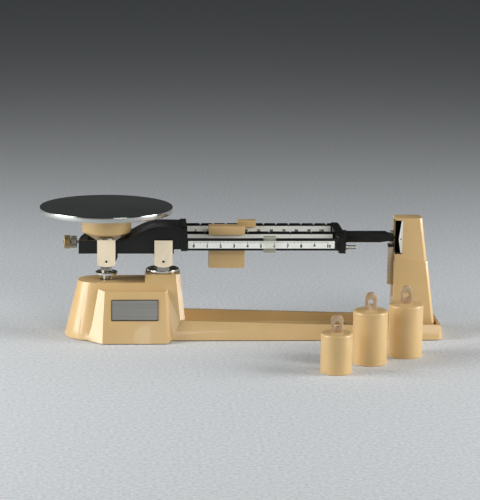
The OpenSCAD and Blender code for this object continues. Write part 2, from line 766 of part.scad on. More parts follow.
// Points of the arch from the cheeks' level to its crown, a half wave
arch_foot = 14;
function arch_point(t) = [arch_foot + (lever_arm - 2 - arch_foot) * t,
    cheek_z + arch_rise * sin(90 * t) * sin(90 * t) * (1 - t) + arch_rise * t * sin(90 * t)];
module lug_outline(x0, x1, z_low) {
    polygon([[x0, frame_z + 2], [x0, frame_z - 4], [x0 + 5, z_low], [x1 - 5, z_low],
        [x1, frame_z - 4], [x1, frame_z + 2]]);
}
tail_t = 8.6;
tail_slant = 7;
module beam_casting() {
    skin = 3;
    color(black) translate(home) difference() {
        union() {
            along_y(-frame_half, frame_half) frame_outline();
            along_x(collar_x, frame_end) polygon([
                [-collar_half, frame_z + 3.4], [collar_half, frame_z + 8],
                [collar_half, arch_z + 0.4], [-collar_half + 2, arch_z + 0.4],
                [-collar_half, arch_z - 2]]);
            both_sides() along_y(cheek_in, frame_half) {
                lug_outline(-9, 13, pivot_z - knife_h - 1);
                lug_outline(lever_arm - 9, lever_arm + 9, pivot_z - 4);
            }
        }
        // Inside of the frame, open below
        along_y(-cheek_in, cheek_in) polygon([
            [-frame_tail + tail_t, frame_z - 1], [collar_x - 1, frame_z - 1],
            [collar_x - 1, arch_z - skin], [lever_arm, arch_z - skin],
            [arch_foot + 24, cheek_z + arch_rise * 0.45 - skin], [arch_foot + 8, cheek_z - skin],
            [-frame_tail + tail_t, cheek_z - skin]]);
        // Opening in the top for the hub's cone
        block(-hub_low_d / 2 - 7, hub_low_d / 2 + 4, -cheek_in, cheek_in, frame_z - 1, cheek_z + 30);
        // Slanted end of the tail's back half
        translate([-frame_tail, -4, 0]) along_z(frame_z - 1, cheek_z + 1) polygon([
            [-1, 0], [0, 0], [tail_slant, frame_half + 5], [-1, frame_half + 5]]);
        // Room for the hub as the beam tips
        translate([0, 0, hub_z]) cylinder(h = cone_h, r1 = hub_low_d / 2 + hub_gap, r2 = hub_d / 2 + hub_gap);
        rod_z(hub_d / 2 + hub_gap, hub_z + cone_h - seam, arch_z + 1);
        // Seats of the beams, the knives and the stud
        beam_ends(collar_x + 1, frame_end + 1);
        knife_bar(0, true);
        knife_bar(lever_arm, false);
        translate([0, 0, stud_z]) rod_x(stud_d / 2, -frame_tail - 1, -frame_tail + 7);
        // Grooves that leave the collar's ribs
        for (i = [0 : 1]) both_sides() block(collar_x + 1.8 + i * 2.4, collar_x + 2.8 + i * 2.4,
            collar_half - 0.8, collar_half + 1, frame_z, arch_z + 1);
    }
}
// Room of the three beams' ends, cut into the castings
module beam_ends(x0, x1) {
    for (i = [-1, 0, 1]) block(x0, min(x1, bar_end(i)), i * bar_pitch - bar_t / 2, i * bar_pitch + bar_t / 2,
        bar_top(i) - bar_h, bar_top(i));
}
function bar_top(i) = i < 0 ? front_top : i > 0 ? rear_top : middle_top;
module knife_bar(x, up) {
    translate([x, 0, pivot_z]) along_y(-yoke_out + 0.3, yoke_out - 0.3)
        mirror([0, up ? 1 : 0]) knife_outline();
}
module fulcrum_knife() {
    color(steel) translate(home) knife_bar(lever_arm, false);
}
module pan_knife() {
    color(steel) translate(home) knife_bar(0, true);
}

// One beam, its ends held in the castings, with notches along its top edge
bar_in = 5;
rear_short = 4;
// Right end of a beam
function bar_end(i) = end_x + bar_in - (i > 0 ? rear_short : 0);
module beam_bar(i, first, pitch, count, depth) {
    top = bar_top(i);
    y = i * bar_pitch;
    difference() {
        block(frame_end - bar_in, bar_end(i), y - bar_t / 2, y + bar_t / 2, top - bar_h, top);
        for (k = [0 : 1 : count - 1]) translate([frame_end + first + k * pitch, 0, 0])
            along_y(y - bar_t, y + bar_t) polygon([
                [-depth * 0.7, top + 0.1], [0, top - depth], [depth * 0.7, top + 0.1]]);
    }
}
module front_beam() {
    color(black) translate(home) beam_bar(-1, 0, 1, 0, 0);
}
module middle_beam() {
    color(black) translate(home) beam_bar(0, middle_first, middle_pitch, 6, notch_d * 0.6);
}
module rear_beam() {
    color(black) translate(home) beam_bar(1, rear_first, rear_pitch, 11, notch_d);
}
scale_margin = 1.2;
scale_drop = 2.9;
module scale_strip(i) {
    y = i * bar_pitch - bar_t / 2;
    z1 = bar_top(i) - scale_drop;
    block(frame_end + scale_margin, end_x - 3.6, y - scale_t, y, z1 - scale_h, z1);
}
module front_scale() {
    color(white) translate(home) scale_strip(-1);
}
module middle_scale() {
    color(white) translate(home) scale_strip(0);
}
module rear_scale() {
    color(white) translate(home) scale_strip(1);
}
// Casting that joins the beams' right ends and falls to the front
module end_casting() {
    color(black) translate(home) difference() {
        union() {
            intersection() {
                along_z(0, rear_top + 10) polygon([
                    [end_x - 3, collar_half], [arm_x - rear_short - 1, collar_half], [arm_x, 5],
                    [arm_x + 0.6, -collar_half], [end_x + 1.9, -collar_half],
                    [end_x + 1.2, -bar_pitch + 4], [end_x - 1.6, 0]]);
                along_x(end_x - 3, arm_x + 1) polygon([
                    [-collar_half, front_top - bar_h - 3], [-bar_pitch + 4, front_top - bar_h - 3],
                    [-bar_pitch + 9, front_top - bar_h], [4, middle_top - bar_h - 1.6],
                    [bar_pitch - 6, rear_top - bar_h - 1.6], [collar_half, rear_top - bar_h - 1.6],
                    [collar_half, rear_top - 1], [collar_half - 2, rear_top + 1],
                    [bar_pitch - 4, rear_top + 1], [4, middle_top + 1.2], [-4, middle_top + 1.2],
                    [-bar_pitch + 4, front_top + 1], [-collar_half, front_top + 1]]);
            }
            // Socket of the pointer's arm
            block(arm_x - seam, arm_x + 4, -pointer_t / 2 - 2, pointer_t / 2 + 2,
                pointer_low - 1, pointer_high + 0.6);
        }
        beam_ends(end_x - 4, end_x + bar_in);
        block(arm_x - 2, arm_x + 5, -pointer_t / 2, pointer_t / 2,
            pointer_low, pointer_high);
        translate([0, hanger_y, hanger_z]) {
            rod_x(hanger_root_r, end_x + bar_in + 0.2, arm_x + 1);
            rod_x(hanger_collar_r + 0.1, arm_x, arm_x + 2);
        }
    }
}
// Screws through the castings into the beams' ends
module beam_screws() {
    color(steel) translate(home) {
        for (x = [frame_end - 3.4]) translate([x, 0, front_top - bar_h / 2])
            both_sides() rod_y(1.6, collar_half, collar_half + 0.9);
        translate([end_x + 4, 0, front_top - bar_h / 2]) rod_y(1.6, -collar_half - 0.9, -collar_half);
        // Screw of the vane's clamp, with its head on the arm and a sleeve below it
        translate([screw_x, 0, 0]) {
            rod_z(screw_r, clamp_z1 - 1.2, head_seat + seam);
            rod_z(head_r, head_seat, head_seat + 2.2);
            rod_z(head_r, clamp_z1, pointer_z - 5.4);
        }
    }
}
// Pointer: a flat arm that narrows to a point at the column's window
pointer_lift = 1;
pointer_low = pointer_z + pointer_lift - pointer_h / 2;
pointer_high = pointer_z + pointer_lift + pointer_h / 2;
screw_x = clamp_x + clamp_w / 2 + 0.6;
screw_r = 1.2;
head_r = 2.3;
head_seat = pointer_high - 1.4;
module pointer_arm() {
    taper_x = pointer_x - 13;
    tip_x = pointer_x - 3.4;
    color(black) translate(home) difference() {
        intersection() {
            along_y(-pointer_t / 2, pointer_t / 2) polygon([
                [arm_x - 2, pointer_low], [taper_x - 6, pointer_low], [taper_x + 2, pointer_low + 1.2],
                [tip_x, pointer_z - 4.2], [tip_x, pointer_z - 1.4], [pointer_x, pointer_z],
                [tip_x, pointer_z + 1.4], [tip_x, pointer_z + 4.2],
                [taper_x + 2, pointer_high - 1.2], [taper_x, pointer_high], [arm_x - 2, pointer_high]]);
            along_z(pointer_low, pointer_high) polygon([
                [arm_x - 2, -pointer_t / 2], [screw_x + 2, -pointer_t / 2], [pointer_x + 1, -0.6],
                [pointer_x + 1, 0.6], [screw_x + 2, pointer_t / 2], [arm_x - 2, pointer_t / 2]]);
        }
        // Seats of the vane's screw and its head
        translate([screw_x, 0, 0]) {
            rod_z(screw_r, pointer_low - 1, pointer_high + 1);
            rod_z(head_r + 0.1, head_seat, pointer_high + 1);
        }
    }
}
// Black clamp under the arm, which grips the vane's upper edge
module vane_clamp() {
    color(black) translate(home) difference() {
        block(clamp_x, clamp_x + clamp_w, -3.4, 3.4, clamp_z1 - clamp_h, clamp_z1);
        block(clamp_x - 1, clamp_x + clamp_w + 1, -vane_t / 2, vane_t / 2,
            clamp_z1 - clamp_h - 1, clamp_z1 - clamp_h + 2);
        translate([screw_x, 0, 0]) rod_z(screw_r, clamp_z1 - 1.2, clamp_z1 + 1);
    }
}
module damping_vane() {
    x1 = column_x + vane_in;
    z1 = clamp_z1 - clamp_h + 2;
    color(steel) translate(home) along_y(-vane_t / 2, vane_t / 2) polygon([
        [clamp_x, z1], [clamp_x + vane_w, z1], [clamp_x + vane_w, z1 - 8], [x1, z1 - 11],
        [x1, vane_low], [clamp_x, vane_low]]);
}
// Pin that takes the attachment weights, with a collar at its root
hanger_y = -22;
hanger_z = front_top - bar_h + 3.4;
hanger_root_r = 1.5;
hanger_collar_r = 3.1;
hanger_collar_t = 2.6;
hanger_r = 2.2;
hanger_l = 10.4;
module hanger_pin() {
    color(steel) translate(home) translate([0, hanger_y, hanger_z]) {
        rod_x(hanger_root_r, end_x + bar_in + 0.2, arm_x + seam);
        rod_x(hanger_collar_r, arm_x, arm_x + hanger_collar_t);
        rod_x(hanger_r, arm_x + hanger_collar_t - seam, arm_x + hanger_collar_t + hanger_l);
    }
}
// Zero adjuster: stud, lock nut and knob on the frame's tail
knob_gap = 0.6;
locknut_x = -frame_tail - 2.4;
knob_x = locknut_x - locknut_l - knob_gap;
module zero_stud() {
    color(steel) translate(home) translate([0, 0, stud_z])
        rod_x(stud_d / 2, knob_x - knob_l - 1, -frame_tail + 6);
}
// Turned ring with a knurled rim of shallow flats
module knurled(r, l, count) {
    difference() {
        rod_x(r, -l, 0);
        rod_x(stud_d / 2 + pin_gap, -l - 1, 1);
        for (i = [0 : count - 1]) rotate([i * 360 / count, 0, 0])
            translate([-l + 0.8, r - 0.35, -0.45]) cube([l - 1.6, 1, 0.9]);
    }
}
module zero_locknut() {
    color(steel) translate(home) translate([locknut_x, 0, stud_z]) knurled(knob_d / 2 - 0.6, locknut_l, 24);
}
module zero_knob() {
    color(brass) translate(home) translate([knob_x, 0, stud_z]) knurled(knob_d / 2, knob_l, 24);
}

// Pan's yoke: a loop round the beam frame, with a neck for the stem below
module pan_yoke() {
    color(steel) translate(home) difference() {
        union() {
            block(-yoke_half, yoke_half, -yoke_out, yoke_out, yoke_top_z, yoke_top_z + yoke_top_t);
            block(-yoke_half, yoke_half, -yoke_out, yoke_out, yoke_low_z - yoke_low_t, yoke_low_z);
            both_sides() block(-yoke_half, yoke_half, yoke_in, yoke_out,
                yoke_low_z - seam, yoke_top_z + seam);
            rod_z(neck_r, collar_z + collar_t, yoke_low_z - yoke_low_t + seam);
        }
        both_sides() block(-agate_w / 2, agate_w / 2, yoke_in - 1, yoke_out + 1,
            pivot_z - knife_h - 2, pivot_z + agate_h - 2);
        rod_z(stem_d / 2, collar_z, yoke_low_z + 1);
    }
}
module pan_agates() {
    color(cream) translate(home) translate([0, 0, pivot_z]) both_sides() agate(false);
}
module pan_covers() {
    color(cream) translate(home) both_sides()
        cover_plate(yoke_top_z + cover_over - cover_h, yoke_top_z + cover_over);
}
module pan_cover_pins() {
    color(black) translate(home) translate([0, 0, pivot_z]) both_sides()
        rod_y(cover_pin_r, yoke_out, cover_out + 0.3);
}
hub_wall = 3;
spigot_r = hub_d / 2 - hub_wall - 0.2;
// Hub: a cone that opens into a straight band, hollow above
module pan_hub() {
    r0 = hub_low_d / 2;
    r1 = hub_d / 2;
    t = hub_wall;
    color(beige) translate(home) difference() {
        rotate_extrude() polygon([
            [0, hub_z], [r0 - 1, hub_z], [r0, hub_z + 1], [r1 - 0.8, hub_z + cone_h - 0.8],
            [r1, hub_z + cone_h + 0.8], [r1, hub_top], [r1 - t, hub_top],
            [r1 - t, hub_z + cone_h + 4], [r0 + 1, hub_z + 9], [0, hub_z + 9]]);
        block(-yoke_half, yoke_half, -yoke_out - 1, yoke_out + 1, yoke_top_z, yoke_top_z + yoke_top_t);
    }
}
module pan_stem() {
    color(steel) translate(home) difference() {
        rod_z(stem_d / 2, stem_low, yoke_low_z);
        for (s = [-1, 1]) translate([0, s * 7.2, 0]) block(-6, 6, -3, 3, stem_low - 1, link_z + 9);
        translate([0, 0, link_z]) rod_y(link_pin_r, -10, 10);
    }
}
module stem_link_pin() {
    color(steel) translate(home) translate([0, 0, link_z]) rod_y(link_pin_r, -9, 9);
}
module stem_collar() {
    color(steel) translate(home) difference() {
        union() {
            rod_z(collar_d / 2, collar_z, collar_z + collar_t - 0.8);
            translate([0, 0, collar_z + collar_t - 0.8 - seam])
                cylinder(h = 0.8 + seam, r1 = collar_d / 2, r2 = collar_d / 2 - 1.2);
        }
        rod_z(stem_d / 2, collar_z - 1, collar_z + collar_t + 1);
    }
}
// Pan: a round sheet with a turned-down rim and a ring that centres it in the hub
module pan() {
    r = pan_d / 2;
    color(steel) translate(home) rotate_extrude($fn = 128) polygon([
        [0, pan_top], [r - 1.6, pan_top], [r - 0.5, pan_top - 0.5], [r, pan_top - 1.6],
        [r, pan_top - rim_h], [r - pan_t, pan_top - rim_h], [r - pan_t, pan_top - 2],
        [r - 2, hub_top], [spigot_r, hub_top], [spigot_r, hub_top - 3], [spigot_r - 2, hub_top - 3],
        [spigot_r - 2, hub_top], [0, hub_top]]);
}

// Middle poise: cap over the beam, back wall, and a block below the beam
middle_at = frame_end + middle_first + middle_pitch;
middle_key = 1.2;
module middle_poise() {
    x0 = middle_at - middle_w / 2;
    h = middle_d / 2;
    gap = bar_t / 2 + poise_gap;
    top = middle_top + poise_gap + 2 * middle_key + 4.5;
    low = middle_top - bar_h - 3.1 - middle_low_h;
    color(beige) translate(home) difference() {
        along_x(x0, x0 + middle_w) polygon([
            [-h, top - 0.8], [-h + 0.8, top], [h - 0.8, top], [h, top - 0.8], [h, low], [-h, low],
            [-h, low + middle_low_h], [gap, low + middle_low_h], [gap, middle_top + poise_gap],
            [-gap - scale_t, middle_top + poise_gap], [-gap - scale_t, top - middle_top_h],
            [-h, top - middle_top_h]]);
        key_rod(middle_at, 0, middle_top);
    }
}
// Cross pin in a poise's slot, above the notches
module key_rod(x, y, top) {
    translate([x, y, top + poise_gap + middle_key]) rod_y(middle_key, -6, 6);
}
module middle_poise_key() {
    color(steel) translate(home) key_rod(middle_at, 0, middle_top);
}
// Rear poise: a cap over the beam and a block behind it
rear_at = frame_end + rear_first + rear_pitch * 4 - 5;
module rear_poise() {
    x0 = rear_at - rear_w / 2;
    y = bar_pitch;
    h = rear_d / 2;
    gap = bar_t / 2 + poise_gap;
    top = rear_top + poise_gap + 2 * middle_key + 1.2;
    color(beige) translate(home) difference() {
        along_x(x0, x0 + rear_w) polygon([
            [y - h, top - 0.6], [y - h + 0.6, top], [y + h - 0.6, top], [y + h, top - 0.6],
            [y + h, top - rear_block_h], [y + gap, top - rear_block_h], [y + gap, rear_top + poise_gap],
            [y - gap - scale_t, rear_top + poise_gap], [y - gap - scale_t, top - rear_cap_h],
            [y - h, top - rear_cap_h]]);
        translate([rear_at + 5, 0, rear_top + poise_gap + middle_key]) rod_y(middle_key, y - 4, y + 4);
    }
}
module rear_poise_key() {
    color(steel) translate(home) translate([rear_at + 5, 0, rear_top + poise_gap + middle_key])
        rod_y(middle_key, bar_pitch - 4, bar_pitch + 4);
}
// Front rider: a channel round the front beam, closed by a clear window
front_zero = frame_end + rider_w / 2 + 0.4;
front_pitch = 15.36;
rider_at = front_zero + front_pitch * front_reading;
module rider_frame() {
    x0 = rider_at - rider_w / 2;
    y = -bar_pitch;
    gap = bar_t / 2 + poise_gap;
    top = front_top + poise_gap;
    low = front_top - bar_h - poise_gap;
    color(steel) translate(home) along_x(x0, x0 + rider_w) polygon([
        [y - gap - scale_t, top], [y + gap, top], [y + gap, low], [y - gap - scale_t, low],
        [y - gap - scale_t, low - 1.8], [y + gap + 2, low - 1.8], [y + gap + 2, top + 1.8],
        [y - gap - scale_t, top + 1.8]]);
}
module rider_window() {
    x0 = rider_at - rider_w / 2;
    y = -bar_pitch - bar_t / 2 - poise_gap - scale_t;
    top = front_top + poise_gap;
    low = front_top - bar_h - poise_gap;
    color([0.85, 0.86, 0.84, 0.5]) translate(home)
        block(x0, x0 + rider_w, y - 1.4, y, low - 1.8, top + 1.8);
}

// Attachment weights: a turned body with two fine grooves, and a tongue with a round hole
module weight_body(d, h) {
    r = d / 2;
    groove = 0.3;
    difference() {
        rotate_extrude() polygon([
            [0, 0], [r - 0.8, 0], [r, 0.8], [r, 3.2], [r - groove, 3.5], [r, 3.8],
            [r, h - 4.6], [r - groove, h - 4.3], [r, h - 4],
            for (i = [0 : 6]) [r - 2.4 + 2.4 * cos(i * 15), h - 2.4 + 2.4 * sin(i * 15)],
            [0, h]]);
        block(-tongue_w / 2, tongue_w / 2, -tongue_t / 2, tongue_t / 2, h - 5, h + 1);
    }
}
module weight_tongue(h) {
    r = tongue_w / 2;
    z = h + tongue_h - r;
    hole_z = h + tongue_h - tongue_hole_drop;
    along_y(-tongue_t / 2, tongue_t / 2) difference() {
        union() {
            translate([-r, h - 5]) square([tongue_w, z - h + 5]);
            translate([0, z]) circle(r);
        }
        translate([0, hole_z]) circle(tongue_hole_d / 2);
    }
}
module small_weight() {
    color(beige) translate(home) translate(small_at) weight_body(small_d, small_h);
}
module small_tongue() {
    color(copper) translate(home) translate(small_at) weight_tongue(small_h);
}
module left_weight() {
    color(beige) translate(home) translate(left_at) weight_body(large_d, large_h);
}
module left_tongue() {
    color(copper) translate(home) translate(left_at) weight_tongue(large_h);
}
module right_weight() {
    color(beige) translate(home) translate(right_at) weight_body(large_d, large_h);
}
module right_tongue() {
    color(copper) translate(home) translate(right_at) weight_tongue(large_h);
}

base_casting();
rubber_feet();
bottom_cover();
cover_screws();
label_plate();
column_lower();
column_cap();
column_screws();
index_plate();
magnet_holder();
damper_magnets();
fulcrum_dish();
fulcrum_post();
post_nut();
check_bracket();
base_link_pin();
fulcrum_yoke();
fulcrum_agates();
fulcrum_covers();
fulcrum_cover_pins();
beam_casting();
fulcrum_knife();
pan_knife();
front_beam();
middle_beam();
rear_beam();
front_scale();
middle_scale();
rear_scale();
end_casting();
beam_screws();
pointer_arm();
vane_clamp();
damping_vane();
hanger_pin();
zero_stud();
zero_locknut();
zero_knob();
pan_yoke();
pan_agates();
pan_covers();
pan_cover_pins();
pan_hub();
pan_stem();
stem_collar();
stem_link_pin();
check_link();
pan();
middle_poise();
middle_poise_key();
rear_poise();
rear_poise_key();
rider_frame();
rider_window();
small_weight();
small_tongue();
left_weight();
left_tongue();
right_weight();
right_tongue();
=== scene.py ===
import json
import math

import bmesh
import bpy
from mathutils import Matrix, Vector


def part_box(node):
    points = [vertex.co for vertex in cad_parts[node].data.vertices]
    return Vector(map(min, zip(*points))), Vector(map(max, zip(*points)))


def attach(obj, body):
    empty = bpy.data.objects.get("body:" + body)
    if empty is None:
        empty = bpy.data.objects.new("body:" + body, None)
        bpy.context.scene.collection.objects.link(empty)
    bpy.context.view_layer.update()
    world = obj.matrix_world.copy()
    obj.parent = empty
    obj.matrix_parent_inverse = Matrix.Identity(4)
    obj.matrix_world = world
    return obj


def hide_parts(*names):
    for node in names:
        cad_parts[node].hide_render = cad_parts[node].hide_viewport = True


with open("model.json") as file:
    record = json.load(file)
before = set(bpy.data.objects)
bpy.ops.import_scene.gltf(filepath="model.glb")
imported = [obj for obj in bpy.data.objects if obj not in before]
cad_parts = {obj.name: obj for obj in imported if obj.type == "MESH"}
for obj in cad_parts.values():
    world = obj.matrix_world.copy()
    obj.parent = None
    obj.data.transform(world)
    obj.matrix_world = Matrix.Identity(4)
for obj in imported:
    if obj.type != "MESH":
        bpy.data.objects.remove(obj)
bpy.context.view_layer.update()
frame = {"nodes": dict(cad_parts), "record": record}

MM = 0.001
nodes = frame["nodes"]
body_of_node = {n: b for b, ns in frame["record"]["behaviour"]["bodies"].items() for n in ns}
slot_of_node = {s["node"]: s["material_slot"] for s in frame["record"]["subparts"]}

# The pan's axis is the origin of the drawing's own measures
pan_low, pan_high = (Vector(c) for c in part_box("pan"))
HOME = Vector(((pan_low.x + pan_high.x) / 2, (pan_low.y + pan_high.y) / 2, 0.0))


def at(x, y, z):
    """A point given in millimetres from the pan's axis and the bench."""
    return HOME + Vector((x, y, z)) * MM


def lin(r, g, b):
    """A display colour, 0 to 255, as the linear colour that the shaders use."""
    return tuple(c / 12.92 if c <= 0.04045 else ((c + 0.055) / 1.055) ** 2.4
                 for c in (v / 255 for v in (r, g, b))) + (1.0,)


# Finishes

# The range that most of a noise texture's values lie in
NOISE_LOW = 0.3
NOISE_HIGH = 0.7


class Finish:
    """A material in the making: its nodes read the piece's own coordinates in metres."""

    def __init__(self, name, roughness, metallic=0.0, coat=0.0):
        self.mat = bpy.data.materials.new(name)
        self.mat.use_nodes = True
        self.tree = self.mat.node_tree
        self.shader = self.tree.nodes["Principled BSDF"]
        self.shader.inputs["Roughness"].default_value = roughness
        self.shader.inputs["Metallic"].default_value = metallic
        self.shader.inputs["Coat Weight"].default_value = coat
        self.coords = self.tree.nodes.new("ShaderNodeTexCoord").outputs["Object"]

    def node(self, kind, **values):
        """A node of a kind, with the values of its inputs or its own settings."""
        n = self.tree.nodes.new(kind)
        for key, value in values.items():
            if key in n.inputs:
                n.inputs[key].default_value = value
            else:
                setattr(n, key, value)
        return n

    def link(self, a, b):
        self.tree.links.new(a, b)

    def noise(self, scale, detail=3.0, stretch=(1, 1, 1)):
        """Noise over the piece, squeezed along each axis by the stretch."""
        place = self.node("ShaderNodeMapping", Scale=stretch)
        self.link(self.coords, place.inputs["Vector"])
        n = self.node("ShaderNodeTexNoise", Scale=scale, Detail=detail)
        self.link(place.outputs["Vector"], n.inputs["Vector"])
        return n.outputs["Fac"]

    def ramp(self, value, stops):
        """Colours between the stops, each a place and a colour."""
        n = self.node("ShaderNodeValToRGB")
        for i, (pos, colour) in enumerate(stops):
            e = n.color_ramp.elements[i] if i < 2 else n.color_ramp.elements.new(pos)
            e.position = pos
            e.color = colour
        self.link(value, n.inputs["Fac"])
        return n.outputs["Color"]

    def span(self, value, low, high):
        """The noise's middle range, carried over to low and high."""
        n = self.node("ShaderNodeMapRange")
        n.inputs["From Min"].default_value = NOISE_LOW
        n.inputs["From Max"].default_value = NOISE_HIGH
        n.inputs["To Min"].default_value = low
        n.inputs["To Max"].default_value = high
        self.link(value, n.inputs["Value"])
        return n.outputs["Result"]

    def colour(self, value, dark, light):
        stops = [(NOISE_LOW, dark), (NOISE_HIGH, light)]
        self.link(self.ramp(value, stops), self.shader.inputs["Base Color"])

    def roughness(self, value, low, high):
        self.link(self.span(value, low, high), self.shader.inputs["Roughness"])

    def bump(self, value, depth_mm):
        n = self.node("ShaderNodeBump", Strength=1.0, Distance=depth_mm * MM)
        self.link(value, n.inputs["Height"])
        self.link(n.outputs["Normal"], self.shader.inputs["Normal"])


def shade(colour, factor):
    """The colour, made darker or lighter."""
    return tuple(min(1.0, c * factor) for c in colour[:3]) + (1.0,)


def enamel(name, colour, roughness, peel_mm, coat):
    """Sprayed enamel: fine orange peel, a little cloudiness in tone and sheen."""
    f = Finish(name, roughness, coat=coat)
    f.colour(f.noise(28, 4), shade(colour, 0.955), shade(colour, 1.035))
    f.roughness(f.noise(60, 3), roughness - 0.05, roughness + 0.06)
    f.bump(f.noise(520, 2), peel_mm)
    return f.mat


def cast_black():
    """Satin black over a lightly grained casting."""
    f = Finish("satin_black_casting", 0.36, coat=0.1)
    f.colour(f.noise(45, 4), lin(13, 14, 11), lin(20, 21, 17))
    f.roughness(f.noise(150, 3), 0.3, 0.44)
    f.shader.inputs["Specular IOR Level"].default_value = 0.3
    f.bump(f.noise(900, 3), 0.035)
    return f.mat


def bar_black():
    """Smooth black on the rolled bars and the pointer."""
    f = Finish("smooth_black_bar", 0.3, coat=0.06)
    f.colour(f.noise(60, 3), lin(12, 13, 10), lin(19, 20, 16))
    f.roughness(f.noise(220, 2, (1, 6, 6)), 0.26, 0.38)
    f.shader.inputs["Specular IOR Level"].default_value = 0.3
    f.bump(f.noise(700, 2, (0.3, 1, 1)), 0.012)
    return f.mat


def printed_white(name, colour):
    """White printed plate, with the faint mottling of old ink."""
    f = Finish(name, 0.45)
    f.colour(f.noise(90, 4), shade(colour, 0.94), shade(colour, 1.02))
    f.roughness(f.noise(300, 2), 0.38, 0.52)
    f.bump(f.noise(1500, 2), 0.006)
    return f.mat


def polished_pan():
    """Stainless sheet, spun and polished: fine rings round the pan's axis."""
    f = Finish("polished_stainless", 0.12, metallic=1.0)
    place = f.node("ShaderNodeMapping")
    place.inputs["Location"].default_value = (-HOME.x, -HOME.y, 0)
    f.link(f.coords, place.inputs["Vector"])
    rings = f.node("ShaderNodeTexWave", wave_type="RINGS", rings_direction="Z", Scale=900.0,
                   Distortion=2.5, Detail=2.0)
    f.link(place.outputs["Vector"], rings.inputs["Vector"])
    f.colour(f.noise(20, 3), lin(186, 187, 182), lin(204, 205, 201))
    f.roughness(f.noise(35, 4), 0.10, 0.17)
    f.bump(rings.outputs["Fac"], 0.0012)
    return f.mat


def turned_metal(name, dark, light, low, high, stretch=(1, 1, 1), scale=260, groove=0.01, metallic=1.0):
    """Bare metal with the tool's fine lines and a little tarnish."""
    f = Finish(name, (low + high) / 2, metallic=metallic)
    f.colour(f.noise(120, 4, stretch), dark, light)
    f.roughness(f.noise(scale, 3, stretch), low, high)
    f.bump(f.noise(scale * 4, 2, stretch), groove)
    return f.mat


def black_rubber():
    """Moulded rubber, dull and finely pitted."""
    f = Finish("black_rubber", 0.75)
    f.colour(f.noise(200, 3), lin(24, 24, 24), lin(38, 38, 37))
    f.roughness(f.noise(300, 2), 0.68, 0.86)
    f.bump(f.noise(1200, 3), 0.05)
    return f.mat


def banded_agate():
    """Polished agate, in thin wavy bands."""
    f = Finish("banded_agate", 0.15, coat=0.4)
    bands = f.node("ShaderNodeTexWave", Scale=260.0, Distortion=6.0, Detail=3.0)
    f.link(f.coords, bands.inputs["Vector"])
    f.link(f.ramp(bands.outputs["Fac"], [(0.1, lin(120, 84, 66)), (0.9, lin(198, 176, 156))]),
           f.shader.inputs["Base Color"])
    f.roughness(f.noise(200, 2), 0.1, 0.2)
    return f.mat


def dark_ferrite():
    """Sintered magnet, dark and matt."""
    f = Finish("dark_ferrite", 0.6)
    f.colour(f.noise(400, 4), lin(34, 34, 36), lin(58, 58, 60))
    f.roughness(f.noise(300, 2), 0.5, 0.7)
    f.bump(f.noise(1500, 3), 0.02)
    return f.mat


def clear_acrylic():
    """Clear acrylic, lightly rubbed."""
    f = Finish("clear_acrylic", 0.1)
    f.shader.inputs["Alpha"].default_value = 0.18
    f.colour(f.noise(80, 3), lin(222, 222, 206), lin(236, 236, 222))
    f.roughness(f.noise(120, 4), 0.06, 0.18)
    return f.mat


beige = lin(206, 173, 119)
finishes = {
    "beige_paint": enamel("beige_enamel", beige, 0.38, 0.012, 0.25),
    "cream_paint": enamel("cream_enamel", lin(240, 224, 196), 0.45, 0.01, 0.06),
    "black_paint": cast_black(),
    "bar_paint": bar_black(),
    "scale_white": printed_white("printed_white", lin(240, 243, 236)),
    "pan_steel": polished_pan(),
    "chrome_plate": turned_metal("bright_plate", lin(196, 194, 186), lin(222, 220, 212), 0.05, 0.12,
                                 groove=0.003),
    "steel": turned_metal("turned_steel", lin(150, 148, 140), lin(182, 180, 170), 0.22, 0.4),
    "brass": turned_metal("aged_brass", lin(156, 135, 94), lin(196, 172, 124), 0.25, 0.42),
    "aluminium": turned_metal("satin_aluminium", lin(196, 188, 172), lin(220, 212, 196), 0.34, 0.5,
                              (1, 1, 8)),
    "agate": banded_agate(),
    "magnet": dark_ferrite(),
    "rubber": black_rubber(),
    "clear_plastic": clear_acrylic(),
    "tongue_metal": turned_metal("dull_bronze_plate", lin(180, 152, 120), lin(210, 184, 152), 0.38, 0.55,
                                 metallic=0.7),
    "brushed_silver": turned_metal("brushed_silver", lin(152, 151, 146), lin(166, 165, 160), 0.42, 0.5,
                                   (0.05, 1, 8), 420),
    "rider_metal": turned_metal("rubbed_ivory_metal", lin(172, 165, 147), lin(196, 189, 170), 0.4, 0.55,
                                metallic=0.4),
    "print_black": printed_white("black_ink", lin(26, 26, 26)),
}


# Making pieces

def piece(name, mesh, body, finish, replaced=()):
    """A new piece on its body, with one finish or several in the order of its faces' numbers."""
    obj = bpy.data.objects.new(name, mesh)
    bpy.context.scene.collection.objects.link(obj)
    for one in (finish,) if isinstance(finish, str) else finish:
        mesh.materials.append(finishes[one])
    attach(obj, body)
    if replaced:
        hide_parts(*replaced)
    return obj


def shaded(mesh, angle=32):
    """Smooth shading, with edges left sharp past the angle in degrees."""
    mesh.shade_smooth()
    mesh.set_sharp_from_angle(angle=math.radians(angle))


def merged(node):
    """A working copy of a CAD node: its loose triangles joined into whole faces."""
    bm = bmesh.new()
    bm.from_mesh(nodes[node].data)
    for f in bm.faces:
        f.material_index = 0
    bmesh.ops.remove_doubles(bm, verts=bm.verts, dist=2e-6)
    bmesh.ops.dissolve_limit(bm, angle_limit=math.radians(0.4), verts=bm.verts, edges=bm.edges)
    return bm


